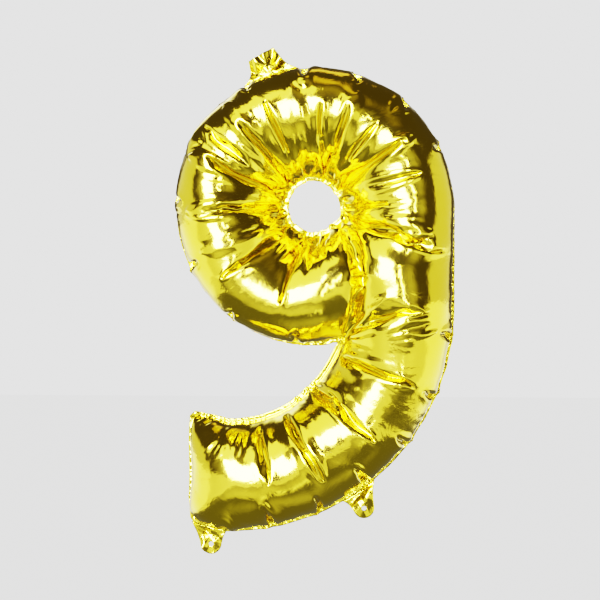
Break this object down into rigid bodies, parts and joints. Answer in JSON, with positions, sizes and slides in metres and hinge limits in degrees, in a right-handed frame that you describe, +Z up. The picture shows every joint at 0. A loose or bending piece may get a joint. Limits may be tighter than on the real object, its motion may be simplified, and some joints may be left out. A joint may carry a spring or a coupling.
{
  "type": "foil number balloon",
  "caption": "Inflated gold foil balloon shaped as the digit nine, with a flat welded seam, a self-sealing fill neck and two punched hanging tabs.",
  "frame": {"origin": "centre of the round eye of the digit, midway between the front and rear panels", "axes": "+Z up the digit, +X to the right of somebody who faces its front, +Y into the digit from its front; the front faces -Y"},
  "size_m": [0.194, 0.073, 0.3559],
  "materials": {
    "gold_foil": "polished",
    "sealant": "satin",
    "clear_film": "gloss"
  },
  "bodies": {
    "envelope": {"front_panel": "gold_foil", "rear_panel": "gold_foil", "outer_seam_weld": "sealant", "eye_seam_weld": "sealant", "valve_front_film": "clear_film", "valve_rear_film": "clear_film"},
    "fill_neck": {"neck_front_film": "gold_foil", "neck_rear_film": "gold_foil", "neck_side_welds": "sealant"},
    "left_tab": {"left_tab_front_film": "gold_foil", "left_tab_weld": "sealant", "left_tab_rear_film": "gold_foil"},
    "right_tab": {"right_tab_front_film": "gold_foil", "right_tab_weld": "sealant", "right_tab_rear_film": "gold_foil"}
  },
  "joints": [
    {"name": "neck_fold", "type": "hinge", "parent": "envelope", "child": "fill_neck", "pos_m": [-0.03321, 0, 0.09124], "axis": [0.9397, 0, 0.342], "range_deg": [-80, 80], "stiffness_Nm_per_rad": 0.00002},
    {"name": "left_tab_fold", "type": "hinge", "parent": "envelope", "child": "left_tab", "pos_m": [-0.07389, 0, -0.22483], "axis": [0.9732, 0, -0.23], "range_deg": [-80, 80], "stiffness_Nm_per_rad": 0.00002},
    {"name": "right_tab_fold", "type": "hinge", "parent": "envelope", "child": "right_tab", "pos_m": [0.03181, 0, -0.19871], "axis": [0.8141, 0, 0.5807], "range_deg": [-80, 80], "stiffness_Nm_per_rad": 0.00002}
  ]
}
